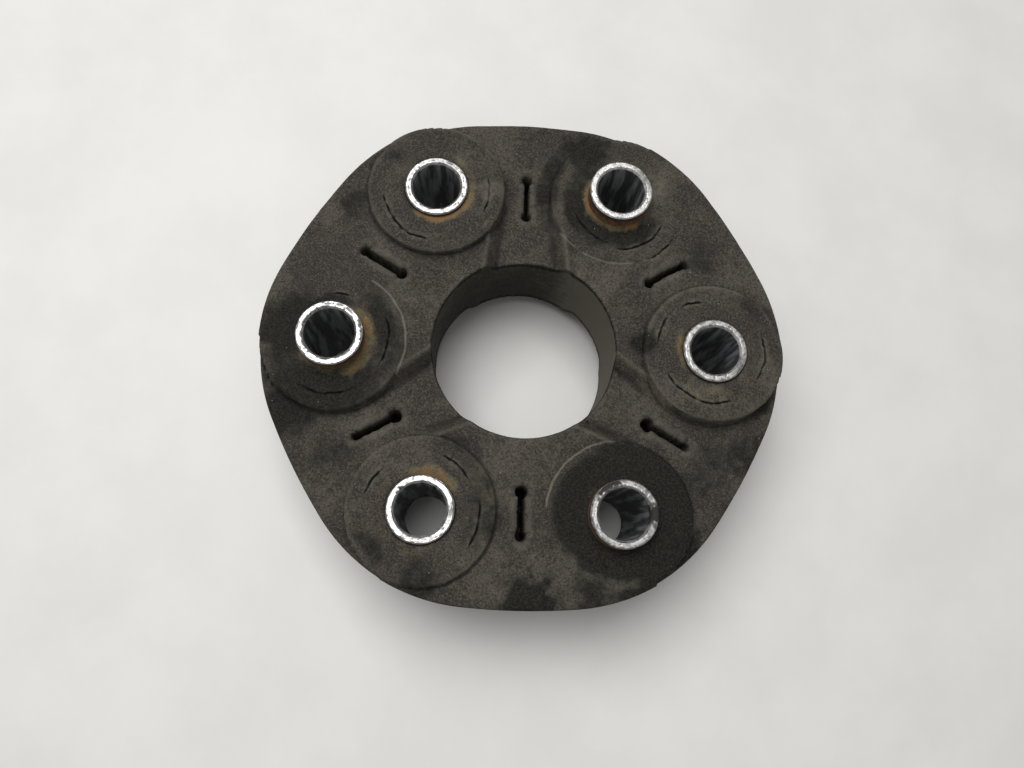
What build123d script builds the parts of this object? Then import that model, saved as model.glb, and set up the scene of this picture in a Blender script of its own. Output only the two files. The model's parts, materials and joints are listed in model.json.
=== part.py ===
"""Flexible disc coupling: a moulded rubber disc that joins two three-armed shaft flanges.

Six steel bolt sleeves stand on one bolt circle. Three belong to the driving flange and three to the
driven one, in turn, and each trio is shifted along the axis. A thread pack, an endless winding of
cord, ties each neighbouring pair of sleeves. The packs lie at two levels in turn, so the rubber web
between two sleeves is high on one face and low on the other. Collars at both ends of each sleeve
hold the packs in, and the rubber is moulded round all of it.

Millimetres. The Z axis is the shaft axis, the origin is the middle of the resting plane, and the
+X axis passes through a sleeve.
"""

import math
import os

from build123d import *

# Driving dimensions ------------------------------------------------------------------------------

bolt_circle_r = 39.0
sleeve_pairs = 3

sleeve_bore_r = 5.05
sleeve_outer_r = 6.6
sleeve_length = 30.0
sleeve_stagger = 2.0
sleeve_inner_chamfer = 0.4
sleeve_outer_chamfer = 0.25

pack_outer_r = 12.4
pack_height = 9.0
pack_corner_r = 1.2

collar_outer_r = 10.8
collar_thickness = 1.5

pad_r = 14.7
pad_rim_land = 0.3
corner_arc_r = 38.0
flank_arc_r = 130.0
centre_hole_r = 19.0

high_web_cover = 2.5
low_web_rise = 9.0
web_flank_half_angle = 20.0
web_flank_run = 2.2
flush_pad_setback = 0.7
proud_pad_setback = 4.2
pad_edge_r = 1.2
rim_edge_r = 0.6
centre_edge_r = 0.7

slot_eye_spacing = 8.5
slot_eye_r = 1.25
slot_outset = 0.4
slot_neck_width = 1.3
slot_mouth_flare = 0.5
slot_mouth_depth = 0.6
slot_floor_web = 2.0

# Levels that follow from them --------------------------------------------------------------------

sleeve_count = 2 * sleeve_pairs
pitch = 360.0 / sleeve_count
overall_height = sleeve_length + sleeve_stagger
mid_z = overall_height / 2
pack_top_z = mid_z + pack_height
collar_top_z = pack_top_z + collar_thickness
high_web_z = pack_top_z + high_web_cover
low_web_z = mid_z + low_web_rise
flush_pad_z = sleeve_length - flush_pad_setback
proud_pad_z = overall_height - proud_pad_setback
web_axis_r = bolt_circle_r * math.cos(math.radians(pitch / 2))


def polar(radius, angle):
    """The plan point at a radius and an angle in degrees."""
    return Vector(radius * math.cos(math.radians(angle)), radius * math.sin(math.radians(angle)))


def flush_on_top(index):
    """Even sleeves reach down to the resting plane, and odd ones up to the top of the part."""
    return index % 2 == 0


def is_high_web(index):
    """The web after an even sleeve holds an upper pack, so it is high on the top face."""
    return index % 2 == 0


# Rubber disc -------------------------------------------------------------------------------------


def disc_plan():
    """The plan form, a soft hexagon: an arc outside each sleeve, and a flatter arc tangent to each two."""
    corner_centre_r = bolt_circle_r + pad_r + pad_rim_land - corner_arc_r
    corner_x = corner_centre_r * math.cos(math.radians(pitch / 2))
    corner_y = corner_centre_r * math.sin(math.radians(pitch / 2))
    to_flank_centre = flank_arc_r - corner_arc_r
    waist_r = corner_x - math.sqrt(to_flank_centre**2 - corner_y**2) + flank_arc_r
    lean = math.asin(corner_y / to_flank_centre)
    tangent_x = corner_x + corner_arc_r * math.cos(lean)
    tangent_y = corner_y + corner_arc_r * math.sin(lean)
    tangent_r = math.hypot(tangent_x, tangent_y)
    tangent_angle = math.degrees(math.atan2(tangent_y, tangent_x))
    arcs = []
    for index in range(sleeve_count):
        boss_angle = index * pitch
        web_angle = boss_angle + pitch / 2
        start = polar(tangent_r, web_angle - tangent_angle)
        end = polar(tangent_r, web_angle + tangent_angle)
        corner = polar(corner_centre_r + corner_arc_r, boss_angle + pitch)
        next_start = polar(tangent_r, web_angle + pitch - tangent_angle)
        arcs.append(ThreePointArc(start, polar(waist_r, web_angle), end))
        arcs.append(ThreePointArc(end, corner, next_start))
    return make_face(arcs)


def rounded_slab(top_z):
    """The disc from its middle plane up to one level, with its rim and centre hole edges rounded."""
    slab = Pos(0, 0, mid_z) * extrude(disc_plan(), top_z - mid_z)
    slab = fillet(slab.faces().sort_by(Axis.Z)[-1].edges(), rim_edge_r)
    hole = Pos(0, 0, mid_z) * extrude(Circle(centre_hole_r), top_z - mid_z)
    slab -= hole
    hole_edges = slab.faces().sort_by(Axis.Z)[-1].inner_wires()[0].edges()
    return fillet(hole_edges, centre_edge_r)


def high_web_wedge(web_angle):
    """The ground that one high web covers: from sleeve to sleeve, and inwards to the centre hole.

    Each flank is a straight line that leaves the centre hole near the low web's axis and runs
    tangent to the pad. It slopes down to the low web.
    """
    half_span = pitch - web_flank_half_angle
    corner = polar(centre_hole_r, half_span)
    sleeve = polar(bolt_circle_r, pitch / 2)
    to_sleeve = sleeve - corner
    turn = math.degrees(math.asin(pad_r / to_sleeve.length))
    flank = to_sleeve.rotate(Axis.Z, turn).normalized()
    tangent = corner + flank * math.sqrt(to_sleeve.length**2 - pad_r**2)
    inner = corner - flank * centre_hole_r / 2
    outer = polar(2 * bolt_circle_r, pitch / 2)
    upper_side = [inner, tangent, sleeve, outer]
    lower_side = [Vector(point.X, -point.Y) for point in reversed(upper_side)]
    plan = make_face(Polyline(*upper_side, *lower_side, close=True))
    wedge = Pos(0, 0, mid_z) * extrude(plan, high_web_z - mid_z)
    rise = high_web_z - low_web_z
    middle = (inner + tangent) / 2
    for side in (1, -1):
        brink = wedge.edges().sort_by_distance((middle.X, side * middle.Y, high_web_z))[0]
        face = wedge.faces().sort_by(Axis.Z)[-1]
        wedge = chamfer(brink, web_flank_run, rise, reference=face)
    return Rot(0, 0, web_angle) * wedge


def pad(index):
    """The round pad of rubber about one sleeve. It is higher where it backs a flange arm."""
    top_z = flush_pad_z if flush_on_top(index) else proud_pad_z
    disc = extrude(Circle(pad_r), top_z - mid_z)
    disc = fillet(disc.edges().sort_by(Axis.Z)[-1], pad_edge_r)
    return Pos(*polar(bolt_circle_r, index * pitch)) * Pos(0, 0, mid_z) * disc


def slot(web_angle, top_z):
    """The dog-bone pocket in the eye of a thread pack, which lets the web stretch. It is blind."""
    floor_z = mid_z + slot_floor_web / 2
    middle = Pos(web_axis_r + slot_outset, 0)
    eyes = [middle * Pos(side * slot_eye_spacing / 2, 0) for side in (-1, 1)]
    plan = middle * Rectangle(slot_eye_spacing, slot_neck_width)
    plan += [eye * Circle(slot_eye_r) for eye in eyes]
    pocket = Pos(0, 0, floor_z) * extrude(plan, overall_height)
    for eye in eyes:
        mouth = Cone(slot_eye_r, slot_eye_r + slot_mouth_flare, slot_mouth_depth)
        pocket += eye * Pos(0, 0, top_z - slot_mouth_depth / 2) * mouth
    return Rot(0, 0, web_angle) * pocket


def upper_half(moulded_in):
    """The rubber above the middle plane, less the room of the pieces that are moulded into it."""
    webs = [(index + 0.5) * pitch for index in range(sleeve_count)]
    high_webs = [web for index, web in enumerate(webs) if is_high_web(index)]
    low_webs = [web for index, web in enumerate(webs) if not is_high_web(index)]
    high_slab = rounded_slab(high_web_z)
    ground = [high_slab & high_web_wedge(web) for web in high_webs]
    pads = [pad(index) for index in range(sleeve_count)]
    slots = [slot(web, high_web_z) for web in high_webs] + [slot(web, low_web_z) for web in low_webs]
    half = rounded_slab(low_web_z) + ground + pads
    return half - slots - moulded_in


def rubber_body(moulded_in):
    """Both halves. The lower one is the mirror image of the upper one, turned by one pitch."""
    half = upper_half(moulded_in)
    return half + Rot(0, 0, pitch) * mirror(half, about=Plane.XY.offset(mid_z))


# Bolt sleeves ------------------------------------------------------------------------------------


def bolt_sleeve():
    """A turned steel tube that takes one bolt. It is clamped between bolt head and flange arm."""
    half_length = sleeve_length / 2
    corners = [
        (sleeve_bore_r, 0),
        (sleeve_outer_r, 0),
        (sleeve_outer_r, half_length - sleeve_outer_chamfer),
        (sleeve_outer_r - sleeve_outer_chamfer, half_length),
        (sleeve_bore_r + sleeve_inner_chamfer, half_length),
        (sleeve_bore_r, half_length - sleeve_inner_chamfer),
    ]
    profile = make_face(Polyline(*[(radius, 0, height) for radius, height in corners], close=True))
    half = revolve(profile, Axis.Z)
    return Pos(0, 0, half_length) * (half + mirror(half, about=Plane.XY))


def at_sleeve(index, height):
    """The place of sleeve index on the bolt circle, at a height."""
    return Pos(*polar(bolt_circle_r, index * pitch)) * Pos(0, 0, height)


# Thread packs ------------------------------------------------------------------------------------


def thread_pack():
    """An endless winding of cord round two sleeves, lying on the plane z = 0 across the +X axis."""
    spacing = 2 * bolt_circle_r * math.sin(math.radians(pitch / 2))
    solid = extrude(SlotCenterToCenter(spacing, 2 * pack_outer_r), pack_height)
    ends = solid.faces().sort_by(Axis.Z)
    solid = fillet(ends[0].edges() + ends[-1].edges(), pack_corner_r)
    eye = extrude(SlotCenterToCenter(spacing, 2 * sleeve_outer_r), pack_height)
    return Pos(web_axis_r, 0, 0) * Rot(0, 0, 90) * (solid - eye)


# End collars -------------------------------------------------------------------------------------


def collar():
    """A steel washer pressed on a sleeve, against the outer side of the packs."""
    return extrude(Circle(collar_outer_r) - Circle(sleeve_outer_r), collar_thickness)


# Assembly ----------------------------------------------------------------------------------------

one_sleeve = bolt_sleeve()
one_pack = thread_pack()
one_collar = collar()
nodes = {}
for index in range(sleeve_count):
    lift = 0 if flush_on_top(index) else sleeve_stagger
    pack_z = mid_z if is_high_web(index) else mid_z - pack_height
    web_turn = Rot(0, 0, (index + 0.5) * pitch)
    nodes[f"bolt_sleeve_{index + 1}"] = at_sleeve(index, lift) * one_sleeve
    nodes[f"thread_pack_{index + 1}"] = web_turn * Pos(0, 0, pack_z) * one_pack
    nodes[f"top_collar_{index + 1}"] = at_sleeve(index, pack_top_z) * one_collar
    nodes[f"bottom_collar_{index + 1}"] = at_sleeve(index, overall_height - collar_top_z) * one_collar

seat = extrude(Circle(sleeve_outer_r), mid_z)
held_above = [at_sleeve(index, mid_z) * seat for index in range(sleeve_count)]
held_above += [nodes[f"top_collar_{index + 1}"] for index in range(sleeve_count)]
held_above += [nodes[f"thread_pack_{index + 1}"] for index in range(sleeve_count) if is_high_web(index)]
nodes["rubber_body"] = rubber_body(held_above)

os.makedirs("parts", exist_ok=True)
for name, solid in nodes.items():
    export_step(solid, f"parts/{name}.step")
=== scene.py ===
"""Disc coupling, dressed: a used rubber disc round six steel bolt sleeves, lying on a pale worktop."""

import json
import math

import bpy
import numpy as np
from mathutils import Matrix, Vector, noise
from mathutils.geometry import delaunay_2d_cdt


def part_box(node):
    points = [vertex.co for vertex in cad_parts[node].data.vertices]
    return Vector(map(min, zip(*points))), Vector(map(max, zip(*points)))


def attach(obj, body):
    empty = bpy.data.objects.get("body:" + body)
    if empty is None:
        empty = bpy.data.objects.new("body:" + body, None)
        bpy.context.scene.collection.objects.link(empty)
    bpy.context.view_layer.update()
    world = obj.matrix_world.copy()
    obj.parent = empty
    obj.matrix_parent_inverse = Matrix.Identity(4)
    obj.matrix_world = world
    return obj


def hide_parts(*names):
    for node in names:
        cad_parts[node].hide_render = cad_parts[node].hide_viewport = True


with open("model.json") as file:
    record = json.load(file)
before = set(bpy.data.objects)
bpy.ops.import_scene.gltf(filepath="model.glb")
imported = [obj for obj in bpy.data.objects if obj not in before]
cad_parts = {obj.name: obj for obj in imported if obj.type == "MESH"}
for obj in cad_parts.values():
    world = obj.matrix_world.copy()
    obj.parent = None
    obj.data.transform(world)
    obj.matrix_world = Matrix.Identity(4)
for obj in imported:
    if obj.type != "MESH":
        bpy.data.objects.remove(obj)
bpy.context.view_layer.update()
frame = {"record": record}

# ---------------------------------------------------------------------------------------------
# Bolt sleeves. Six tubes turned from bare steel bar, every other one for the same shaft flange.
# Bolt heads and flange arms have burnished and bruised their ends, the bores are dark with old
# grease and carry painted reflection streaks, and rust has taken the walls of the three that stand proud of
# the rubber.
# ---------------------------------------------------------------------------------------------

MM = 0.001
sleeve_count = 6
pitch = 2 * math.pi / sleeve_count
sleeve_low, sleeve_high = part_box("bolt_sleeve_1")
bolt_circle = (sleeve_low.x + sleeve_high.x) / 2 / MM
sleeve_r = (sleeve_high.x - sleeve_low.x) / 2 / MM
sleeve_length = (sleeve_high.z - sleeve_low.z) / MM
mounts = {mount["name"]: mount["dims"] for mount in frame["record"]["mounts"]}
bore_r = mounts["bolt_bore_1"]["r_mm"]
bore_chamfer = 0.4
wall_chamfer = 0.25
edge_band = 0.7
sleeve_around = 160
# For each sleeve: how brightly its end is burnished, then its dirty arcs as start, end, inner and
# outer radius and strength, in degrees and millimetres, and the arcs where its edge is dented.
sleeve_ends = [
    (0.50, [(-48, -20, 5.9, 6.7, 0.55), (95, 130, 5.2, 5.7, 0.5)], [(-44, -18)]),
    (0.90, [(150, 320, 5.0, 5.6, 0.35), (25, 60, 6.0, 6.7, 0.5)], [(18, 40)]),
    (0.28, [(0, 360, 5.75, 5.95, 0.25)], [(-100, -90), (60, 68)]),
    (0.62, [(40, 110, 5.7, 6.3, 0.5), (-15, 30, 5.8, 6.5, 0.6), (90, 330, 5.0, 5.7, 0.6)], [(10, 22)]),
    (0.40, [(128, 150, 5.2, 5.9, 0.8), (230, 300, 5.2, 5.6, 0.4)], [(55, 63), (-8, 0)]),
    (
        0.34,
        [
            (-16, 20, 4.2, 7.4, 1.3),
            (88, 152, 5.3, 6.7, 0.85),
            (25, 70, 5.6, 6.7, 0.4),
            (150, 300, 6.1, 6.7, 0.45),
        ],
        [(100, 130)],
    ),
]


def ease(value, low, high):
    """0 below low, 1 above high and a smooth slope between."""
    t = np.clip((value - low) / (high - low), 0, 1)
    return t * t * (3 - 2 * t)


def wobble(points, size, seed):
    """Smooth noise from -1 to 1 over points of two or three columns, with lumps of about the size."""
    places = np.zeros((len(points), 3))
    places[:, : points.shape[1]] = points / size
    places += seed * 7.31
    return np.array([noise.noise(place) for place in places.tolist()])


def arc_marks(angle, radius, marks):
    """How strongly each point is marked by arcs about a sleeve, with soft sides and ends."""
    total = np.zeros(len(radius))
    for start, end, inner, outer, strength in marks:
        middle, half = math.radians(start + end) / 2, math.radians(end - start) / 2
        off = np.abs((angle - middle + math.pi) % (2 * math.pi) - math.pi)
        soft = 0.4 * (outer - inner)
        along = 1 if half >= math.pi else ease((half - off) * radius, -3 * soft, 3 * soft)
        across = ease(np.minimum(radius - inner, outer - radius), -soft, soft)
        total = np.maximum(total, strength * along * across)
    return total


def add_mesh(name, points, faces, marks, crease):
    """A mesh piece from points in millimetres, with its marks as values on the points."""
    mesh = bpy.data.meshes.new(name)
    mesh.from_pydata((np.asarray(points) * MM).tolist(), [], faces)
    mesh.polygons.foreach_set("use_smooth", [True] * len(mesh.polygons))
    mesh.set_sharp_from_angle(angle=math.radians(crease))
    for mark, values in marks.items():
        mesh.attributes.new(mark, "FLOAT", "POINT").data.foreach_set("value", values)
    piece = bpy.data.objects.new(name, mesh)
    bpy.context.scene.collection.objects.link(piece)
    return piece


def sleeve_section():
    """Radius and height along half the tube's section: up the wall, over the end and down the bore."""
    top = sleeve_length / 2
    wall = [(sleeve_r, top - below) for below in (15, 11, 8, 6, 5, 4.3, 3.7, 3.1, 2.5, 1.9, 1.4, 0.9, 0.5)]
    edge = [(sleeve_r - wall_chamfer * part, top - wall_chamfer * (1 - part)) for part in (0, 0.35, 0.7, 1)]
    end = [(radius, top) for radius in np.linspace(sleeve_r - wall_chamfer, bore_r + bore_chamfer, 9)[1:-1]]
    lip = [(bore_r + bore_chamfer * part, top - bore_chamfer * (1 - part)) for part in (1, 0.6, 0.3, 0)]
    bore = [(bore_r, top - below) for below in (0.7, 1.1, 1.7, 2.5, 3.5, 5, 7, 9, 11, 13, 15)]
    return np.array(wall + edge + end + lip + bore)


def bolt_sleeve(index):
    """One tube about its own middle, bruised on the ends, with its rust, dirt and shine as marks."""
    half = sleeve_section()
    section = np.concatenate([half, half[-2:0:-1] * (1, -1)])
    rows = len(section)
    angle = np.tile(np.arange(sleeve_around) * 2 * math.pi / sleeve_around, rows)
    radius = np.repeat(section[:, 0], sleeve_around)
    height = np.repeat(section[:, 1], sleeve_around)
    burnish, dirty, dented = sleeve_ends[index]
    around = np.stack([radius * np.cos(angle), radius * np.sin(angle), height], 1)
    depth = sleeve_length / 2 - np.abs(height)
    # Bruises: chips along both edges of an end, pits and dents in it, and a face that isn't quite flat.
    end_face = ease(-depth, -0.45, -0.1)
    outer_edge = end_face * ease(radius, sleeve_r - edge_band, sleeve_r - 0.1)
    inner_edge = end_face * ease(-radius, -bore_r - edge_band, -bore_r - 0.2)
    chip = np.maximum(0, wobble(around, 0.7, index + 1) - 0.15)
    pit = ease(wobble(around, 0.42, index + 9), 0.38, 0.6) * end_face
    dents = [(*arc, sleeve_r - 0.6, sleeve_r + 1, 1) for arc in dented]
    dent = arc_marks(angle, radius, dents) * end_face
    sunk = 0.02 * end_face * (1 + wobble(around, 1.6, index + 3)) + 0.06 * pit
    lost = sunk + 0.16 * chip * outer_edge + 0.12 * chip * inner_edge + 0.22 * dent
    height = height - np.sign(height) * lost
    radius = radius - 0.20 * chip * outer_edge - 0.18 * dent + 0.10 * chip * inner_edge
    points = np.stack([radius * np.cos(angle), radius * np.sin(angle), height], 1)
    # Dirt lies in patches. Where an arc of it is strong, it covers the end and the mouth of the bore.
    blotch = wobble(around, 0.6, index + 5)
    arcs = arc_marks(angle, radius, dirty)
    caked = arcs * ease(blotch + arcs - 0.4, -0.35, 0.25) * ease(-depth, -3.0, -0.5)
    bore = ease(-radius, -bore_r - 0.08, -bore_r - 0.01)
    marks = {
        "end_face": end_face * burnish,
        "bore": bore,
        "soil": np.clip(caked + 0.5 * pit, 0, 1),
        "depth": depth,
    }
    here = np.arange(rows * sleeve_around).reshape(rows, sleeve_around)
    beside = np.roll(here, -1, 1)
    quads = np.stack([here, beside, np.roll(beside, -1, 0), np.roll(here, -1, 0)], 2)
    return points, quads.reshape(-1, 4).tolist(), marks


class Shade:
    """A socket of a material, so that shader maths reads as plain sums and add() makes any other node."""

    def __init__(self, tree, socket=None):
        self.tree = tree
        self.socket = socket

    def add(self, kind, settings, values, output=0):
        """A new node. Its settings are set first, and then the values or links of its sockets."""
        node = self.tree.nodes.new("ShaderNode" + kind)
        for name, setting in settings.items():
            setattr(node, name, setting)
        for name, value in values.items():
            if isinstance(value, Shade):
                self.tree.links.new(value.socket, node.inputs[name])
            else:
                node.inputs[name].default_value = value
        return Shade(self.tree, node.outputs[output] if node.outputs else None)

    def math(self, operation, *values):
        """The result of one sum on values or sockets."""
        return self.add("Math", {"operation": operation}, dict(enumerate(values)))

    def __add__(self, other):
        return self.math("ADD", self, other)

    def __sub__(self, other):
        return self.math("SUBTRACT", self, other)

    def __rsub__(self, other):
        return self.math("SUBTRACT", other, self)

    def __mul__(self, other):
        return self.math("MULTIPLY", self, other)

    __radd__ = __add__
    __rmul__ = __mul__

    def ramp(self, low, high):
        """0 where this value is below low, 1 above high and a smooth slope between."""
        limits = {"Value": self, "From Min": low, "From Max": high}
        return self.add("MapRange", {"interpolation_type": "SMOOTHSTEP"}, limits)

    def between(self, first, second):
        """The first colour where this value is 0, and the second where it is 1."""
        return self.add("Mix", {"data_type": "RGBA"}, {0: self, 6: first, 7: second}, 2)

    def places(self, scale=(1, 1, 1)):
        """Places on the part in millimetres, stretched along an axis where its scale is small."""
        where = self.add("TexCoord", {}, {}, 3)
        stretch = [share / MM for share in scale]
        return self.add("VectorMath", {"operation": "MULTIPLY"}, {0: where, 1: stretch})

    def grain(self, places, size, detail=3.0):
        """Noise from 0 to 1 with lumps of about the size, and finer ones with more detail."""
        values = {"Vector": places, "Scale": 1 / size, "Detail": detail, "Roughness": 0.6}
        return self.add("TexNoise", {}, values)

    def mark(self, name):
        """A value that the mesh carries on its points."""
        return self.add("Attribute", {"attribute_name": name}, {}, 2)

    def relief(self, height, depth):
        """The normal of a surface whose height goes from 0 to 1 over a depth in millimetres."""
        return self.add("Bump", {}, {"Height": height, "Distance": depth * MM})


def finish(name, surface):
    """A material whose surface shader is made by a function from an empty Shade."""
    material = bpy.data.materials.new(name)
    material.use_nodes = True
    material.node_tree.nodes.clear()
    shade = Shade(material.node_tree)
    shade.add("OutputMaterial", {}, {"Surface": surface(shade)})
    return material


burnished_steel = (0.78, 0.775, 0.76, 1)
rubbed_steel = (0.40, 0.395, 0.385, 1)
dull_steel = (0.50, 0.49, 0.47, 1)
stained_steel = (0.15, 0.147, 0.14, 1)
pit_brown = (0.07, 0.065, 0.06, 1)
wall_black = (0.035, 0.030, 0.028, 1)
dark_rust = (0.085, 0.034, 0.014, 1)
light_rust = (0.20, 0.105, 0.045, 1)
oily_bore = (0.085, 0.086, 0.090, 1)
bore_reflection_streak = (0.36, 0.37, 0.38, 1)
caked_dirt = (0.014, 0.012, 0.010, 1)


def worn_steel(shade):
    """Bright bruised ends, a greasy bore with painted reflection streaks along it, and a wall that rusts
    towards its foot.
    """
    places = shade.places()
    burnish, bore, soil, depth = [shade.mark(name) for name in ("end_face", "bore", "soil", "depth")]
    mottle = shade.grain(places, 0.9, 5.0)
    speck = shade.grain(places, 0.22, 3.0)
    reflection_streaks = shade.grain(shade.places((1, 1, 0.12)), 1.6, 2.0)
    on_end = burnish.ramp(0.02, 0.3)
    bright = burnish.between(rubbed_steel, burnished_steel)
    dull = burnish.between(stained_steel, dull_steel)
    end = mottle.ramp(0.36, 0.58).between(dull, bright)
    end = (speck.ramp(0.60, 0.70) * 0.6).between(end, pit_brown)
    rust = mottle.ramp(0.35, 0.65).between(dark_rust, light_rust)
    foot = depth.ramp(0.7, 2.2)
    wall = foot.between(wall_black, rust)
    # Painted reflection: pale streaks along the bore stand for the lamp seen in the metal.
    tube = reflection_streaks.ramp(0.42, 0.64).between(oily_bore, bore_reflection_streak)
    side = bore.between(wall, tube)
    metal = on_end.between(side, end)
    dirt = shade.math("MINIMUM", soil * 1.25, 1)
    colour = dirt.between(metal, caked_dirt)
    bare = shade.math("MAXIMUM", on_end, bore * 0.45) * (1 - dirt)
    rough = 0.72 - 0.36 * bare + 0.18 * (mottle - 0.5)
    normal = shade.relief(mottle * 0.5 + speck * 0.5, 0.05)
    values = {"Base Color": colour, "Metallic": bare, "Roughness": rough, "Normal": normal}
    return shade.add("BsdfPrincipled", {}, values)


worn_steel_finish = finish("worn_steel", worn_steel)
for index in range(sleeve_count):
    node = f"bolt_sleeve_{index + 1}"
    low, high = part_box(node)
    middle = np.array((low + high) / 2) / MM
    sleeve_points, sleeve_faces, sleeve_marks = bolt_sleeve(index)
    sleeve = add_mesh(f"worn_sleeve_{index + 1}", sleeve_points + middle, sleeve_faces, sleeve_marks, 32)
    sleeve.data.materials.append(worn_steel_finish)
    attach(sleeve, "root")
    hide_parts(node)

# ---------------------------------------------------------------------------------------------
# End collars. Plain washers blanked from steel strip and pressed on the sleeves, one above and
# one below the cord. The rubber is bonded to them and hides them.
# ---------------------------------------------------------------------------------------------


def pressed_steel(shade):
    """Dull steel with the fine parallel lines of rolled strip."""
    lines = shade.grain(shade.places((0.08, 1, 1)), 0.4, 4.0)
    colour = lines.ramp(0.35, 0.65).between((0.33, 0.325, 0.32, 1), (0.52, 0.515, 0.50, 1))
    normal = shade.relief(lines, 0.02)
    values = {"Base Color": colour, "Metallic": 1.0, "Roughness": 0.35 + 0.2 * lines, "Normal": normal}
    return shade.add("BsdfPrincipled", {}, values)


def dress(node, material):
    """Give a node of the frame its material in place of the plain one."""
    mesh = bpy.data.objects[node].data
    mesh.materials.clear()
    mesh.materials.append(material)


pressed_steel_finish = finish("pressed_steel", pressed_steel)
for index in range(sleeve_count):
    dress(f"top_collar_{index + 1}", pressed_steel_finish)
    dress(f"bottom_collar_{index + 1}", pressed_steel_finish)

# ---------------------------------------------------------------------------------------------
# Thread packs. Endless windings of dipped polyester cord, one for each pair of neighbouring
# sleeves. They carry the torque, and are moulded in out of sight.
# ---------------------------------------------------------------------------------------------


def wound_cord(shade):
    """Turns of cord lying side by side up the pack, each with its own twist."""
    winding = {"Vector": shade.places(), "Scale": 0.45, "Distortion": 0.8}
    turns = shade.add("TexWave", {"bands_direction": "Z"}, winding)
    twist = shade.grain(shade.places(), 0.35, 3.0)
    colour = (0.7 * turns + 0.3 * twist).between((0.22, 0.17, 0.10, 1), (0.70, 0.64, 0.50, 1))
    normal = shade.relief(turns + 0.3 * twist, 0.3)
    return shade.add("BsdfPrincipled", {}, {"Base Color": colour, "Roughness": 0.8, "Normal": normal})


wound_cord_finish = finish("wound_cord", wound_cord)
for index in range(sleeve_count):
    dress(f"thread_pack_{index + 1}", wound_cord_finish)

# ---------------------------------------------------------------------------------------------
# Rubber disc. One piece of black natural rubber, compression moulded round the cord and steel.
# Heat and road dust have turned it grey-brown, with grime and rust about the sleeves, and the
# skin has split over the edges of the collars.
# ---------------------------------------------------------------------------------------------

rubber_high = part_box("rubber_body")[1]
full_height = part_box("bolt_sleeve_2")[1].z / MM
mid_z = full_height / 2
corner_reach = rubber_high.x / MM
flush_pad = rubber_high.z / MM
centre_r = mounts["centre_hole"]["r_mm"]
# The frame doesn't give the rest of the mould's sizes. Levels are heights over the worktop.
pad_r = 14.7
corner_arc = 38.0
flank_arc = 130.0
high_web = 27.5
low_web = 25.0
proud_pad = 27.8
rim_edge = 0.6
centre_edge = 0.8
pad_edge = 1.2
web_flank = 2.2
flank_angle = math.radians(20)
slot_floor = mid_z + 1
# Each slot tore out of its mould core a little differently: where its inner and outer eyes lie
# along the web and their radii, half the width of the neck, and how far it lies to one side.
slot_shapes = [
    (30.3, 1.00, 39.1, 0.85, 0.60, 0.25),
    (30.3, 1.05, 38.8, 1.10, 0.52, 0.00),
    (30.0, 1.15, 39.0, 1.05, 0.75, 0.00),
    (29.8, 1.30, 38.7, 0.75, 0.66, 0.10),
    (29.7, 1.25, 38.2, 1.05, 0.68, 0.00),
    (29.9, 1.40, 38.7, 0.90, 0.68, 0.00),
]
# Soft lumps where rubber flashed round the cores: web, place along and across it, radius, height.
slot_lumps = [
    (0, 34.6, -1.0, 0.5, 0.35),
    (1, 37.7, 0.0, 1.0, 0.5),
    (2, 38.6, 0.9, 0.8, 0.45),
    (3, 39.9, 0.8, 1.1, 0.5),
    (4, 40.2, 0.2, 1.3, 0.6),
    (5, 39.3, -0.9, 1.0, 0.5),
    (5, 31.6, -1.7, 0.9, 0.35),
]
# Splits in the skin about each sleeve: start and end angle in degrees, and radius at both.
skin_splits = [
    [(203, 291, 11.0, 10.8), (95, 128, 10.7, 11.5), (140, 176, 11.9, 11.6), (-40, 24, 10.4, 10.8)],
    [(-95, -26, 11.6, 11.1), (-66, -36, 14.9, 14.8), (200, 262, 9.6, 10.3)],
    [(186, 268, 11.2, 11.8), (-30, 19, 11.2, 11.2)],
    [(234, 304, 11.5, 11.2), (66, 98, 9.9, 9.6), (-34, 30, 10.9, 11.4)],
    [(129, 170, 10.7, 11.2), (-41, 17, 11.6, 11.3), (30, 74, 10.9, 11.2)],
    [(248, 262, 10.3, 10.6)],
]
# Grime about each sleeve: start and end angle, inner and outer radius, strength.
grime_arcs = [
    [(40, 66, 11.0, 15.5, 0.35), (-60, -30, 14.5, 16.5, 0.5)],
    [
        (158, 236, 5.5, 11.6, 1.0),
        (225, 325, 6.0, 11.0, 0.8),
        (95, 170, 6.0, 12.5, 0.55),
        (135, 200, 13.0, 18.0, 0.6),
    ],
    [(180, 330, 14.3, 15.8, 0.25)],
    [
        (215, 325, 6.0, 14.4, 0.9),
        (130, 220, 6.5, 12.5, 0.75),
        (-25, 60, 8.0, 13.8, 0.6),
        (60, 130, 7.0, 9.5, 0.5),
    ],
    [(-35, 45, 9.5, 15.5, 0.45), (203, 238, 10.0, 13.2, 0.5), (40, 75, 13.0, 16.5, 0.3)],
    [(0, 360, 5.5, 12.6, 0.95), (-80, 105, 11.0, 14.6, 0.85), (-100, -10, 13.5, 17.0, 0.7)],
]
# Rust that has bled into the rubber from each sleeve's wall, written like the grime.
rust_arcs = [
    [(140, 215, 5.8, 8.0, 0.75), (222, 292, 7.6, 10.6, 0.45), (0, 360, 5.8, 8.4, 0.18)],
    [(145, 315, 5.8, 7.5, 0.85)],
    [(-52, 8, 5.8, 8.5, 0.85), (-128, -40, 5.8, 8.0, 1.0), (0, 85, 5.8, 9.0, 0.4)],
    [(-75, 60, 5.8, 8.6, 0.8), (200, 290, 5.8, 7.3, 0.5)],
    [(30, 112, 5.8, 8.8, 0.85), (100, 330, 5.8, 9.5, 0.28)],
    [(110, 190, 6.4, 7.8, 0.15)],
]
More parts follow.
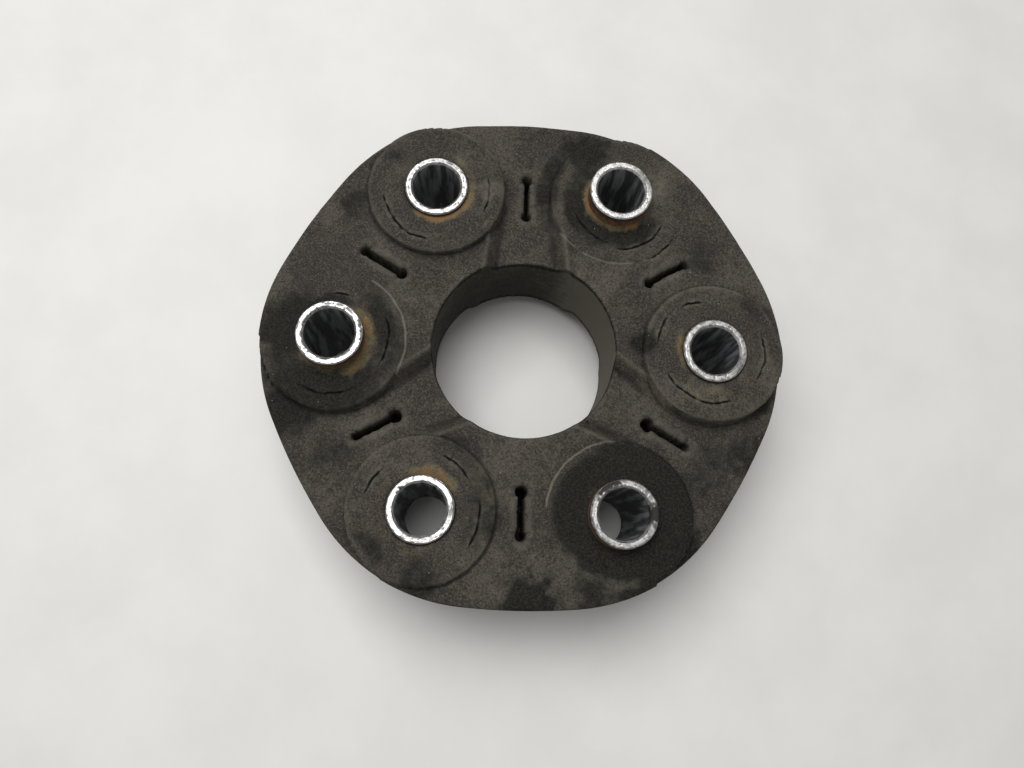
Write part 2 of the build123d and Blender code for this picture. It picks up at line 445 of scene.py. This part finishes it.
# Pale marks, most of them along the edges of the pads, written like the grime: dust, and painted highlights
# where pad edges face the lamp.
dust_and_highlight_arcs = [
    [(60, 165, 13.2, 14.8, 0.35), (-150, -60, 14.0, 14.9, 0.4)],
    [(213, 285, 14.5, 15.0, 0.6), (-85, -40, 9.5, 10.6, 0.2)],
    [(25, 95, 14.0, 15.2, 0.5), (-44, -30, 12.8, 13.5, 0.5)],
    [(-28, 62, 14.5, 14.95, 0.9), (232, 302, 14.3, 14.8, 0.6)],
    [(100, 200, 13.8, 15.6, 0.3), (20, 60, 8.0, 9.0, 0.4), (-40, 10, 8.2, 9.0, 0.25)],
    [(92, 176, 14.5, 14.95, 0.95), (40, 92, 13.5, 14.6, 0.35), (52, 70, 10.9, 11.7, 0.35)],
]
# Blots anywhere on the face: their kind, place, radius and strength.
blots = [
    ("grime", 2, -51, 8.5, 0.9),
    ("grime", 24.5, 1.5, 4.0, 0.55),
    ("grime", 13, 45, 8.0, 0.6),
    ("grime", 13, 31, 6.0, 0.5),
    ("grime", -50, 2, 8.0, 0.6),
    ("grime", -47, -14, 8.0, 0.6),
    ("grime", 47, -22, 8.0, 0.45),
    ("grime", 31, -43, 8.0, 0.6),
    ("grime", -30, 42, 6.0, 0.3),
    ("grime", 14, -48, 7.0, 0.5),
    ("grime", -37, 29, 6.0, 0.35),
    ("grime", 38, -24, 8.0, 0.3),
    ("grime", -38, -23, 7.0, 0.3),
    ("grime", 37, 21, 6.0, 0.25),
    ("grime", -8, -33, 5.0, 0.4),
    ("grime", -20, -47, 6.0, 0.4),
    ("dust", 50, -2, 4.5, 0.4),
    ("dust", -7.5, 34, 5.0, 0.5),
    ("dust", 28, 36, 6.0, 0.45),
    ("dust", -27, 44, 6.0, 0.25),
]


def turned(points, angle):
    """Plan points turned about the shaft axis."""
    cos, sin = math.cos(angle), math.sin(angle)
    x, y = points[:, 0], points[:, 1]
    return np.stack([x * cos - y * sin, x * sin + y * cos], 1)


def soft_max(a, b, blend):
    """The larger of two heights, with a fillet of about the blend where they cross."""
    share = np.clip(0.5 + 0.5 * (a - b) / blend, 0, 1)
    return b + (a - b) * share + blend * share * (1 - share)


def rim_radius(angle):
    """The disc's outline, a soft hexagon: an arc outside each sleeve, and flatter arcs tangent to them."""
    corner = corner_reach - corner_arc
    corner_x, corner_y = corner * math.cos(pitch / 2), corner * math.sin(pitch / 2)
    flank = corner_x - math.sqrt((flank_arc - corner_arc) ** 2 - corner_y**2)
    from_web = np.abs((angle % pitch) - pitch / 2)
    from_boss = pitch / 2 - from_web
    on_flank = flank * np.cos(from_web) + np.sqrt(flank_arc**2 - (flank * np.sin(from_web)) ** 2)
    on_corner = corner * np.cos(from_boss) + np.sqrt(corner_arc**2 - (corner * np.sin(from_boss)) ** 2)
    lean = math.asin(corner_y / (flank_arc - corner_arc))
    tangent = math.atan2(corner_y + corner_arc * math.sin(lean), corner_x + corner_arc * math.cos(lean))
    return np.where(from_web < tangent, on_flank, on_corner)


def split_path(split, angle):
    """The wavering radius of a split at an angle about its sleeve."""
    start, end, first_r, last_r = split
    along = (np.degrees(angle) - start) % 360 / (end - start)
    path = np.stack([np.cos(angle) * 3 + start, np.sin(angle) * 3 + end], 1)
    waver = 0.35 * wobble(path, 1.0, 3) + 0.12 * wobble(path, 0.25, 4)
    return first_r + (last_r - first_r) * along + waver


def split_depth(points, angle, radius, split):
    """How far the skin gapes at points about a sleeve, from 0 to 1. It comes and goes along the split."""
    start, end = split[:2]
    along = (np.degrees(angle) - start) % 360
    near = (along < end - start) & (np.abs(radius - (split[2] + split[3]) / 2) < 2)
    gape = np.zeros(len(radius))
    if near.any():
        off = np.abs(radius[near] - split_path(split, angle[near]))
        to_end = np.radians(np.minimum(along[near], end - start - along[near])) * radius[near]
        open_here = ease(to_end, 0, 2.5) * (0.45 + 0.55 * ease(wobble(points[near], 1.4, 5), -0.25, 0.15))
        gape[near] = open_here * np.clip(1.25 - off / (0.08 + 0.14 * open_here), 0, 1)
    return gape


def web_axes(points):
    """The nearest web of each plan point, and the point's place along and across that web."""
    angle = np.arctan2(points[:, 1], points[:, 0]) % (2 * math.pi)
    web = np.floor(angle / pitch).astype(int) % sleeve_count
    turn = (web + 0.5) * pitch
    u = points[:, 0] * np.cos(turn) + points[:, 1] * np.sin(turn)
    v = -points[:, 0] * np.sin(turn) + points[:, 1] * np.cos(turn)
    return web, u, v


def sleeve_axes(points):
    """The nearest sleeve of each plan point, and the point's angle and distance about that sleeve."""
    angle = np.arctan2(points[:, 1], points[:, 0]) % (2 * math.pi)
    sleeve = np.round(angle / pitch).astype(int) % sleeve_count
    x = points[:, 0] - bolt_circle * np.cos(sleeve * pitch)
    y = points[:, 1] - bolt_circle * np.sin(sleeve * pitch)
    return sleeve, np.arctan2(y, x), np.hypot(x, y)


def slot_distance(web, u, v):
    """Distance in a web's own axes from the outline of its dog-bone slot, negative inside."""
    inner, inner_r, outer, outer_r, neck, aside = np.array(slot_shapes)[web].T
    across = v - aside * np.sin((u - inner) * math.pi / (outer - inner))
    eyes = np.minimum(np.hypot(u - inner, across) - inner_r, np.hypot(u - outer, across) - outer_r)
    bar = np.maximum(np.abs(u - (inner + outer) / 2) - (outer - inner) / 2, np.abs(across) - neck)
    return np.minimum(eyes, bar)


def web_height(web, u, v):
    """Height of the webs alone. The low ones are valleys between flanks that end along the pads."""
    pad_u, pad_v = bolt_circle * math.cos(pitch / 2), bolt_circle * math.sin(pitch / 2)
    corner_u, corner_v = centre_r * math.cos(flank_angle), centre_r * math.sin(flank_angle)
    reach = math.hypot(pad_u - corner_u, pad_v - corner_v)
    heading = math.atan2(pad_v - corner_v, pad_u - corner_u) - math.asin(pad_r / reach)
    along = (u - corner_u) * math.cos(heading) + (np.abs(v) - corner_v) * math.sin(heading)
    beside = (np.abs(v) - corner_v) * math.cos(heading) - (u - corner_u) * math.sin(heading)
    straight = along < math.sqrt(reach**2 - pad_r**2)
    inside = np.where(straight, beside, pad_r - np.hypot(u - pad_u, np.abs(v) - pad_v))
    flank = ease(inside, -0.6, web_flank + 0.4)
    fold = 0.45 * np.exp(-(((inside - web_flank) / 0.7) ** 2)) * ease(-along, -14, -4)
    return np.where(web % 2 == 0, high_web, low_web + (high_web - low_web) * flank + fold)


def pad_height(flush, to_sleeve):
    """Height of the pads alone. Those about the flush sleeves are higher and fall off a little."""
    edge = np.clip(to_sleeve - (pad_r - pad_edge), 0, pad_edge)
    top = np.where(flush, flush_pad - 0.1, proud_pad) - 0.3 * (to_sleeve / pad_r) ** 2 * flush
    return top - 0.7 * (pad_edge - np.sqrt(pad_edge**2 - edge**2))


def cut_slots(height, points, shift):
    """The height with the slots sunk in it, and with their rolled lips and the lumps beside them."""
    web, u, v = web_axes(points)
    off_slot = slot_distance(web, u, v) + 0.10 * wobble(points, 0.9, shift + 6)
    height = height - 0.75 * np.clip(1 - off_slot / 1.3, 0, 1) ** 2
    for lump_web, lump_u, lump_v, lump_r, lump_height in slot_lumps:
        away = np.hypot(u - lump_u, v - lump_v) / lump_r
        height += lump_height * np.exp(-(away**2)) * ((web - lump_web - shift) % sleeve_count == 0)
    return height + (slot_floor - height) * ease(-off_slot, -0.04, 0.24)


def round_edges(height, points, shift):
    """The height with a rounded rim, and with ragged flash on the rounded edge of the centre hole."""
    angle = np.arctan2(points[:, 1], points[:, 0])
    radius = np.hypot(points[:, 0], points[:, 1])
    rim = np.clip(rim_edge - (rim_radius(angle) - radius), 0, rim_edge)
    hole = np.clip(centre_edge - (radius - centre_r), 0, centre_edge)
    flash = np.maximum(0, wobble(points, 0.8, shift + 7)) * 0.5 + 0.15 * wobble(points, 3, shift + 8)
    rim_drop = rim_edge - np.sqrt(rim_edge**2 - rim**2)
    hole_drop = (centre_edge - np.sqrt(centre_edge**2 - hole**2)) * 0.8 - flash * (hole > 0) * 0.8
    return height - rim_drop - hole_drop


def face_height(points, shift):
    """Height of a moulded face over plan points in its own axes. The shift sets its wear apart."""
    web, u, v = web_axes(points)
    sleeve, _, to_sleeve = sleeve_axes(points)
    flush = sleeve % 2 == 0
    swell = 0.35 * wobble(points, 9, shift + 1) + 0.12 * wobble(points, 2.6, shift + 2)
    fine = 0.05 * wobble(points, 0.9, shift + 3)
    # The pads stand on the webs, with a small fillet round each.
    ground = web_height(web, u, v) + 0.5 * swell + fine
    pad = np.where(to_sleeve < pad_r, pad_height(flush, to_sleeve) + 0.15 * swell + fine, low_web - 3)
    height = np.where(to_sleeve < pad_r + 0.8, soft_max(ground, pad, 0.4), ground)
    # The rubber sinks at the flush sleeves, inside a low ring, and creeps up the proud ones.
    seat = np.clip(1 - (to_sleeve - sleeve_r) / 1.1, 0, 1)
    height += np.where(flush, -0.30, 0.5) * seat**2
    lip = np.exp(-(((to_sleeve - 8.2) / 0.5) ** 2)) * ease(wobble(points, 3.0, shift + 4), -0.1, 0.4)
    height += 0.22 * lip * flush
    return round_edges(cut_slots(height, points, shift), points, shift)


def face_marks(points, shift):
    """Grime, rust, dust and splits on a face, each from 0 to 1."""
    sleeve, angle, radius = sleeve_axes(points)
    drift = 0.55 * wobble(points, 2.2, 31) + 0.25 * wobble(points, 0.7, 32)
    names = {"grime": grime_arcs, "rust": rust_arcs, "dust": dust_and_highlight_arcs}
    marks = {name: np.zeros(len(points)) for name in [*names, "split"]}
    for index in range(sleeve_count):
        here = sleeve == index
        table = (index + shift) % sleeve_count
        for name, arcs in names.items():
            loose = 0.25 if name == "dust" else 1.0
            reach = radius[here] + loose * drift[here]
            marks[name][here] = arc_marks(angle[here], reach, arcs[table])
        for split in skin_splits[table]:
            gape = split_depth(points[here], angle[here], radius[here], split)
            marks["split"][here] = np.maximum(marks["split"][here], gape)
    for name, x, y, size, strength in blots:
        centre = turned(np.array([[x, y]]), -shift * pitch)[0]
        away = np.hypot(*(points - centre).T) / size + 0.5 * drift
        marks[name] = np.maximum(marks[name], strength * ease(1 - away, 0, 0.8))
    return marks


# How finely the skin is meshed: points on its edges, rows of points beside them, and spacings.
rim_points = 720
hole_points = 324
seat_points = 96
rim_insets = (0.07, 0.16, 0.28, 0.42, 0.6, 0.85, 1.2, 1.7, 2.2)
hole_insets = (0.1, 0.25, 0.45, 0.7, 1.0, 1.4, 1.9)
slot_offsets = (-0.55, -0.36, -0.22, -0.12, 0, 0.16, 0.4, 0.7, 1.0)
split_offsets = (-0.26, -0.13, 0, 0.13, 0.26)
ring_step = 0.46
edge_step = 0.24
slot_step = 0.22
fill_step = 0.60
fill_reach = 55
least_step = 0.06
rim_rows = 11
seat_rows = 2


def ring(radius, count, centre=(0, 0)):
    """Plan points on a circle, or on an outline given as one radius for each point."""
    angle = np.arange(count) * 2 * math.pi / count
    return np.stack([radius * np.cos(angle) + centre[0], radius * np.sin(angle) + centre[1]], 1)


def slot_rings(web, spacing):
    """Plan points on rings inside and outside a slot's outline, in its web's own axes."""
    inner, inner_r, outer, outer_r, neck, aside = slot_shapes[web]
    rings = []
    for offset in slot_offsets:
        for eye, eye_r, side in ((inner, inner_r, 1), (outer, outer_r, -1)):
            reach = max(eye_r + offset, 0.1)
            bite = math.asin(min(1, max(neck + offset, 0) / reach))
            count = max(8, int(reach * 2 * (math.pi - bite) / spacing))
            turn = np.linspace(bite, 2 * math.pi - bite, count)
            rings.append(np.stack([eye + side * reach * np.cos(turn), reach * np.sin(turn)], 1))
        run = np.arange(inner + inner_r + offset, outer - outer_r - offset, spacing)
        for side in (-1, 1):
            if neck + offset > 0:
                bow = aside * np.sin((run - inner) * math.pi / (outer - inner))
                rings.append(np.stack([run, side * (neck + offset) + bow], 1))
    return np.concatenate(rings)


def sleeve_rings(centre, fine):
    """Plan points on rings about a sleeve, closest where the edge of the pad drops."""
    radii = list(np.arange(sleeve_r + 0.3, pad_r - 1.3, ring_step * fine))
    radii += list(np.arange(pad_r - 1.2, pad_r + 0.9, edge_step * fine))
    rings = [ring(radius, int(2 * math.pi * radius / (ring_step * fine)), centre) for radius in radii]
    return np.concatenate(rings)


def split_rows(centre, split, fine):
    """Plan points in rows along a split, so that it opens cleanly."""
    start, end, first_r, _ = split
    count = int(math.radians(end - start) * first_r / (edge_step * fine))
    turn = np.radians(np.linspace(start, end, count))
    path = split_path(split, turn)
    rows = []
    for offset in split_offsets:
        radius = path + offset
        rows.append(np.stack([radius * np.cos(turn), radius * np.sin(turn)], 1) + centre)
    return np.concatenate(rows)


def even_fill(step):
    """Plan points in a triangular pattern over the whole disc."""
    across = np.arange(-fill_reach, fill_reach, step)
    fill = []
    for row, y in enumerate(np.arange(-fill_reach, fill_reach, step * 0.866)):
        fill.append(np.stack([across + (row % 2) * step / 2, np.full(len(across), y)], 1))
    return np.concatenate(fill)


def loose_points(centres, fine, shift):
    """Plan points between the edge rows: about sleeves, along splits and slots, and an even fill."""
    near_sleeve = np.concatenate([sleeve_rings(centre, fine) for centre in centres])
    splits = []
    for index, centre in enumerate(centres):
        for split in skin_splits[(index + shift) % sleeve_count]:
            splits.append(split_rows(centre, split, fine))
    splits = np.concatenate(splits)
    slots = [turned(slot_rings(web, slot_step * fine), (web + 0.5) * pitch) for web in range(sleeve_count)]
    slots = np.concatenate(slots)
    fill = even_fill(fill_step * fine)
    # Only the points that their own feature needs are kept near a sleeve or a slot.
    loose = np.concatenate([near_sleeve, splits, slots, fill])
    for_slot = np.repeat([False, False, True, False], [len(near_sleeve), len(splits), len(slots), len(fill)])
    for_sleeve = np.arange(len(loose)) < len(near_sleeve) + len(splits)
    radius = np.hypot(loose[:, 0], loose[:, 1])
    around = np.arctan2(loose[:, 1], loose[:, 0])
    off_slot = slot_distance(*web_axes(loose))
    to_sleeve = sleeve_axes(loose)[2]
    keep = (radius > centre_r + hole_insets[-1] + 0.2) & (radius < rim_radius(around) - rim_insets[-1] - 0.2)
    keep &= to_sleeve > sleeve_r + 0.15
    keep &= for_sleeve | (to_sleeve > pad_r + 1.0)
    keep &= for_slot | (off_slot > 1.1)
    loose = loose[keep]
    return loose[np.sort(np.unique(np.round(loose / least_step), axis=0, return_index=True)[1])]


def plan_mesh(fine, shift):
    """Points and triangles of one face in plan: boundaries first, then what its features need."""
    angle = np.arange(rim_points) * 2 * math.pi / rim_points
    outline = rim_radius(angle)
    centres = ring(bolt_circle, sleeve_count)
    edges = [ring(outline, rim_points), ring(centre_r, hole_points)]
    edges += [ring(sleeve_r, seat_points, centre) for centre in centres]
    edges += [ring(outline - inset, rim_points) for inset in rim_insets]
    edges += [ring(centre_r + inset, hole_points) for inset in hole_insets]
    points = np.concatenate([*edges, loose_points(centres, fine, shift)])
    # The mesher may renumber the points, so its triangles are read back through its own sources.
    meshed = delaunay_2d_cdt(points.tolist(), [], [], 0, 1e-7)
    triangles = np.array([sources[0] for sources in meshed[3]])[np.array(meshed[2])]
    middle = points[triangles].mean(1)
    away = np.hypot(middle[:, 0], middle[:, 1])
    solid = sleeve_axes(middle)[2] > sleeve_r * math.cos(math.pi / seat_points)
    solid &= away > centre_r * math.cos(math.pi / hole_points)
    solid &= away < rim_radius(np.arctan2(middle[:, 1], middle[:, 0])) + 0.01
    return points, triangles[solid]


def crest(points, triangles):
    """How convex the skin is at each point, from -1 in a deep crease to 1 on a sharp edge."""
    total = np.zeros_like(points)
    weight = np.zeros(len(points))
    square = np.zeros(len(points))
    for a, b in ((0, 1), (1, 2), (2, 0)):
        for first, second in ((triangles[:, a], triangles[:, b]), (triangles[:, b], triangles[:, a])):
            step = points[second] - points[first]
            np.add.at(total, first, step)
            np.add.at(weight, first, 1)
            np.add.at(square, first, (step**2).sum(1))
    weight = np.maximum(weight, 1)
    bend = -total[:, 2] / weight / np.maximum(square / weight, 1e-6)
    # Three rounds of smoothing spread each edge and crease a little.
    for _ in range(3):
        spread = np.zeros(len(points))
        for a, b in ((0, 1), (1, 2), (2, 0)):
            np.add.at(spread, triangles[:, a], bend[triangles[:, b]])
            np.add.at(spread, triangles[:, b], bend[triangles[:, a]])
        bend = 0.4 * bend + 0.6 * spread / weight
    return np.clip(bend * 2.5, -1, 1)


def skin_face(fine, shift):
    """One face in its own axes: its points, triangles and marks, and the loops of points on its edges."""
    plan, triangles = plan_mesh(fine, shift)
    marks = face_marks(plan, shift)
    points = np.column_stack([plan, face_height(plan, shift) - 0.45 * marks["split"]])
    marks["crest"] = crest(points, triangles)
    rim = np.arange(rim_points)
    hole = rim_points + np.arange(hole_points)
    seats = rim_points + hole_points + np.arange(sleeve_count * seat_points)
    return points, triangles, marks, [rim, hole, *seats.reshape(sleeve_count, seat_points)]


def wall_rows(top, bottom, rows, outward):
    """The rows of wall points between two edges. The outer wall and the centre hole are uneven."""
    for row in range(1, rows):
        share = row / rows
        wall = top * (1 - share) + bottom * share
        if rows > seat_rows:
            ripple = 0.10 * wobble(wall, 2.5, 21) + 0.03 * wobble(wall, 0.8, 22) - 0.13
            wall[:, :2] *= (1 + outward * ripple / np.hypot(wall[:, 0], wall[:, 1]))[:, None]
        yield wall


def closed_disc():
    """The whole skin: a fine upper face, a coarser lower one turned by one pitch, and the walls."""
    upper, upper_triangles, upper_marks, upper_loops = skin_face(1.0, 0)
    lower, lower_triangles, lower_marks, lower_loops = skin_face(1.5, 2)
    lower = np.column_stack([turned(lower, pitch), full_height - lower[:, 2]])
    # The turn moves each loop on by a sixth of its points, and each seat on to the next sleeve.
    lower_loops = [np.roll(loop, len(loop) // sleeve_count) + len(upper) for loop in lower_loops]
    lower_loops = [*lower_loops[:2], lower_loops[-1], *lower_loops[2:-1]]
    points = np.concatenate([upper, lower])
    marks = {name: np.concatenate([upper_marks[name], lower_marks[name]]) for name in upper_marks}
    faces = upper_triangles.tolist() + (lower_triangles[:, ::-1] + len(upper)).tolist()
    kinds = [(rim_rows, 1), (rim_rows, -1)] + [(seat_rows, -1)] * sleeve_count
    for first, last, (rows, outward) in zip(upper_loops, lower_loops, kinds):
        loops = [first]
        for wall in wall_rows(points[first], points[last], rows, outward):
            loops.append(np.arange(len(points), len(points) + len(wall)))
            points = np.concatenate([points, wall])
            fresh = {name: np.zeros(len(wall)) for name in marks}
            # Painted light: the centre hole's wall is made paler towards +x, the side that faces the lamp,
            # through the dust mark.
            if rows > seat_rows and outward < 0:
                fresh["dust"] = 1.4 * ease(wall[:, 0], 2, 16)
            marks = {name: np.concatenate([marks[name], fresh[name]]) for name in marks}
        loops.append(last)
        for above, below in zip(loops, loops[1:]):
            quads = np.stack([above, below, np.roll(below, -1), np.roll(above, -1)], 1)
            faces += (quads if outward > 0 else quads[:, ::-1]).tolist()
    return points, faces, marks


dark_skin = (0.048, 0.043, 0.035, 1)
pale_skin = (0.072, 0.065, 0.053, 1)
brown_cloud = (0.034, 0.030, 0.026, 1)
dusty_cloud = (0.105, 0.096, 0.074, 1)
pale_grit = (0.125, 0.113, 0.091, 1)
black_pore = (0.020, 0.018, 0.016, 1)
painted_edge_highlight = (0.150, 0.138, 0.115, 1)
painted_crease_shade = (0.014, 0.012, 0.011, 1)
pale_dust_and_painted_light = (0.175, 0.162, 0.126, 1)
black_grease = (0.0055, 0.0050, 0.0042, 1)
dull_grease = (0.021, 0.0195, 0.0155, 1)
yellow_bleed = (0.190, 0.155, 0.080, 1)
orange_bleed = (0.285, 0.140, 0.042, 1)
inside_split = (0.009, 0.008, 0.007, 1)
sand_grain = (0.42, 0.40, 0.35, 1)


def aged_rubber(shade):
    """Grey-brown weathered rubber: mottled, with grime, rust bleed, pale dust and dark splits, and with
    painted light: painted highlights on edges and ridges, painted shade in creases, and painted light on the
    dust mark.
    """
    places = shade.places()
    names = ("grime", "rust", "dust", "split", "crest")
    grime, rust, dust, split, crest = [shade.mark(name) for name in names]
    cloud = shade.grain(places, 11.0, 3.0)
    patch = shade.grain(places, 1.9, 5.0)
    grit = shade.grain(places, 0.36, 4.0)
    skin = patch.ramp(0.36, 0.64).between(dark_skin, pale_skin)
    skin = (cloud.ramp(0.42, 0.60) * 0.60).between(skin, brown_cloud)
    skin = ((1 - cloud).ramp(0.52, 0.66) * 0.45).between(skin, dusty_cloud)
    skin = (grit.ramp(0.52, 0.64) * 0.6).between(skin, pale_grit)
    skin = ((1 - grit).ramp(0.52, 0.64) * 0.75).between(skin, black_pore)
    # Painted highlight: convex edges and ridges are made paler, broken up by the patches.
    edge = crest.ramp(0.06, 0.7) * (0.35 + 0.65 * patch)
    skin = (edge * 0.55).between(skin, painted_edge_highlight)
    # Painted shade: creases, such as the foot of each pad's edge, are darkened almost to black.
    crease = (0 - crest).ramp(0.04, 0.5)
    skin = (crease * 0.88).between(skin, painted_crease_shade)
    # The dust mark carries real dust and painted light: painted highlights along pad edges that face the
    # lamp, and the lit side of the centre hole's wall.
    dust_and_light_mask = (dust * (0.1 + 1.7 * patch)).ramp(0.12, 0.9)
    skin = (dust_and_light_mask * 0.8).between(skin, pale_dust_and_painted_light)
    uneven = (patch - 0.5) * 1.3 + (cloud - 0.5) * 1.2 + (grit - 0.5) * 0.6
    dirty = (grime * 1.45 + uneven).ramp(0.12, 0.85)
    soot = grit.ramp(0.4, 0.62).between(black_grease, dull_grease)
    skin = (dirty * 0.94).between(skin, soot)
    bleed = (rust + (patch - 0.5) * 1.1 + (grit - 0.5) * 0.5).ramp(0.15, 1.05)
    core = (bleed * 0.7 + grit * 0.6).ramp(0.75, 1.1)
    ochre = core.between(yellow_bleed, orange_bleed)
    skin = (bleed * 0.7).between(skin, ochre)
    skin = split.ramp(0.6, 1.15).between(skin, inside_split)
    away = shade.add("TexVoronoi", {}, {"Vector": places, "Scale": 0.55})
    chance = shade.grain(places, 3.1, 0.0)
    speck = (1 - away.ramp(0.02, 0.07)) * chance.ramp(0.55, 0.62)
    skin = (speck * 0.8).between(skin, sand_grain)
    rough = 0.66 + 0.12 * patch - 0.18 * dirty
    height = 0.35 * patch + 0.45 * grit + 0.2 * shade.grain(places, 0.18, 2.0)
    normal = shade.relief(height, 0.30)
    values = {"Base Color": skin, "Roughness": rough, "Normal": normal, "Specular IOR Level": 0.12}
    return shade.add("BsdfPrincipled", {}, values)


rubber_points, rubber_faces, rubber_marks = closed_disc()
rubber = add_mesh("rubber_disc", rubber_points, rubber_faces, rubber_marks, 50)
rubber.data.materials.append(finish("aged_rubber", aged_rubber))
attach(rubber, "root")
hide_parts("rubber_body")

# ---------------------------------------------------------------------------------------------
# Worktop. A pale laminate board, faintly clouded. It is the stage that the part lies on, and
# catches its shadow.
# ---------------------------------------------------------------------------------------------


def pale_laminate(shade):
    """Off-white board with faint clouding."""
    places = shade.places()
    cloud = shade.grain(places, 30.0, 4.0)
    colour = cloud.ramp(0.3, 0.7).between((0.74, 0.735, 0.715, 1), (0.79, 0.785, 0.765, 1))
    rough = 0.45 + 0.1 * cloud
    return shade.add("BsdfPrincipled", {}, {"Base Color": colour, "Roughness": rough})


worktop_half = 1000
worktop_points = [(worktop_half * x, worktop_half * y, 0) for x, y in ((-1, -1), (1, -1), (1, 1), (-1, 1))]
worktop = add_mesh("worktop", worktop_points, [(0, 1, 2, 3)], {}, 30)
worktop.data.materials.append(finish("pale_laminate", pale_laminate))

# ---------------------------------------------------------------------------------------------
# Light. One large soft lamp that hangs above the far side, a little to the left, and an even pale
# room that fills the shadows.
# ---------------------------------------------------------------------------------------------

lamp = bpy.data.lights.new("soft_lamp", "AREA")
lamp.energy = 2.4
lamp.size = 0.37
lamp_object = bpy.data.objects.new("soft_lamp", lamp)
lamp_place = Vector((-0.12, 0.14, 0.53))
lamp_object.location = lamp_place
lamp_object.rotation_euler = (-lamp_place).to_track_quat("-Z", "Y").to_euler()
bpy.context.scene.collection.objects.link(lamp_object)

room = bpy.data.worlds.new("pale_room")
room.use_nodes = True
background = room.node_tree.nodes["Background"]
background.inputs["Color"].default_value = (1.0, 0.995, 0.985, 1)
background.inputs["Strength"].default_value = 0.36
bpy.context.scene.world = room
bpy.context.scene.view_settings.view_transform = "Standard"

# ---------------------------------------------------------------------------------------------
# Camera. It is held by hand over the near side of the disc, and looks down and a little away. Its
# lens is wide, so the walls of the centre hole and of the bores show.
# ---------------------------------------------------------------------------------------------

camera = bpy.data.cameras.new("camera")
camera.lens = 27.06
camera.sensor_width = 36
camera.clip_start = 0.01
camera_place = Vector((-0.0102, -0.0447, 0.1787))
forward = Vector((0.0500, 0.2352, -0.9707)).normalized()
upward = Vector((-0.0364, 0.9717, 0.2336))
right = forward.cross(upward).normalized()
axes = Matrix((right, right.cross(forward), -forward)).transposed()
camera_object = bpy.data.objects.new("camera", camera)
camera_object.matrix_world = Matrix.Translation(camera_place) @ axes.to_4x4()
bpy.context.scene.collection.objects.link(camera_object)
bpy.context.scene.camera = camera_object
